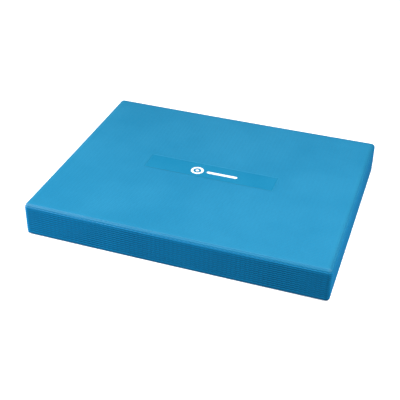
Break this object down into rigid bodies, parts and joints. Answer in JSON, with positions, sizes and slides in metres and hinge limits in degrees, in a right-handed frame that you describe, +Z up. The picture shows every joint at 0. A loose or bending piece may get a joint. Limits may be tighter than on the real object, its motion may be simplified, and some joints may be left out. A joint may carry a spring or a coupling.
{
  "type": "balance pad",
  "caption": "Rectangular soft foam balance pad with a finely embossed skin, rounded top edges and a smooth printed panel on top, for standing and physiotherapy exercises.",
  "frame": {"origin": "middle of the underside, on the plane that the pad lies on", "axes": "+X along the long side, +Y along the short side towards the back, +Z up out of the standing surface"},
  "size_m": [0.5, 0.395, 0.058],
  "materials": {
    "skin_foam": "matte soft elastomer foam with fine embossed waves",
    "core_foam": "matte closed-cell foam",
    "smooth_panel": "smooth satin",
    "white_ink": "satin print"
  },
  "bodies": {
    "root": {"foam_core": "core_foam", "top_skin": "skin_foam", "bottom_skin": "skin_foam", "print_panel": "smooth_panel", "mark_ring": "white_ink", "mark_dot": "white_ink", "mark_bar": "white_ink"}
  },
  "joints": []
}
